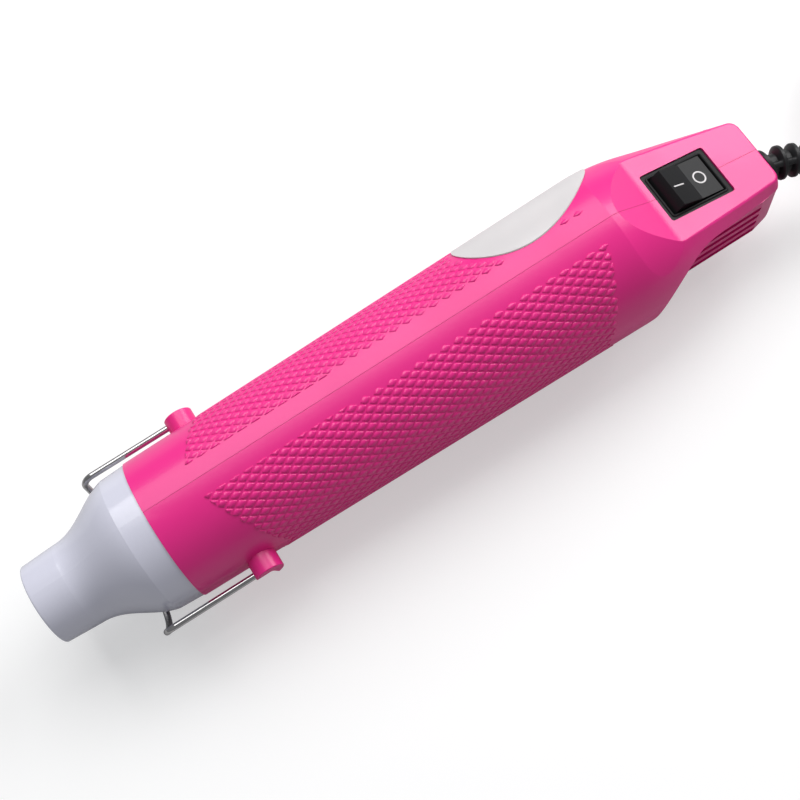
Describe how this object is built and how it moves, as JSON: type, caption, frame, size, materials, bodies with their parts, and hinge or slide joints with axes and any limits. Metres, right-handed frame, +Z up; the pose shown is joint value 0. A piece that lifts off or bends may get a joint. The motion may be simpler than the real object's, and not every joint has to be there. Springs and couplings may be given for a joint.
{
  "type": "embossing heat tool",
  "caption": "Slim hand-held hot-air craft tool with a flared nozzle, vented clamshell casing, rocker switch, folding wire stand and mains lead.",
  "frame": {"origin": "centre of the tool's length and width, on the floor that the barrel and the folded stand rest on", "axes": "+X out of the nozzle along the tool's axis, +Z up through the switch side, +Y to the left"},
  "size_m": [0.3494, 0.0723, 0.0444],
  "materials": {
    "casing": "satin moulded ABS",
    "nozzle": "satin heat-proof moulding",
    "label": "smooth foil",
    "switch_black": "moulded",
    "rocker_black": "smooth moulded",
    "terminal_brass": "tinned",
    "wire_steel": "bright drawn wire",
    "rubber_black": "matt",
    "cord_black": "matt extruded sheath",
    "plug_black": "matt moulded",
    "pin_brass": "bright turned",
    "tube_steel": "rolled sheet",
    "mica": "pressed mica board",
    "element_wire": "drawn resistance wire",
    "cutoff_metal": "drawn can",
    "duct_plastic": "moulded",
    "motor_steel": "zinc plated",
    "cap_plastic": "moulded",
    "magnet": "sintered ferrite",
    "rotor_iron": "laminated stack",
    "shaft_steel": "ground",
    "fan_plastic": "moulded",
    "board": "phenolic board",
    "diode_body": "moulded",
    "screw_steel": "zinc plated",
    "clamp_plastic": "moulded fibre"
  },
  "bodies": {
    "tool": {"casing_left": "casing", "casing_right": "casing", "nozzle": "nozzle", "label_plate": "label", "heater_tube": "tube_steel", "mica_sleeve": "mica", "mica_former": "mica", "former_disc": "mica", "heating_element": "element_wire", "thermal_cutoff": "cutoff_metal", "air_duct": "duct_plastic", "motor_can": "motor_steel", "motor_end_cap": "cap_plastic", "motor_magnets": "magnet", "rectifier_board": "board", "motor_lugs": "terminal_brass", "rectifier_diodes": "diode_body", "switch_housing": "switch_black", "switch_terminals": "terminal_brass", "casing_screws": "screw_steel", "strain_relief": "rubber_black", "cord_inner": "cord_black", "cord_clamp": "clamp_plastic", "clamp_screws": "screw_steel", "cord_lead": "cord_black", "cord_coil": "cord_black", "plug_body": "plug_black", "plug_pins": "pin_brass"},
    "stand": {"stand_wire": "wire_steel"},
    "rocker": {"switch_rocker": "rocker_black"},
    "rotor": {"motor_shaft": "shaft_steel", "motor_rotor": "rotor_iron", "fan_impeller": "fan_plastic"}
  },
  "joints": [
    {"name": "stand_swing", "type": "hinge", "parent": "tool", "child": "stand", "pos_m": [0.0572, 0, 0.0222], "axis": [0, 1, 0], "range_deg": [0, 105]},
    {"name": "rocker_tip", "type": "hinge", "parent": "tool", "child": "rocker", "pos_m": [-0.08678, 0, 0.03102], "axis": [0, 1, 0], "range_deg": [0, 20]},
    {"name": "fan_spin", "type": "hinge", "parent": "tool", "child": "rotor", "pos_m": [-0.05, 0, 0.0222], "axis": [1, 0, 0], "continuous": true}
  ]
}
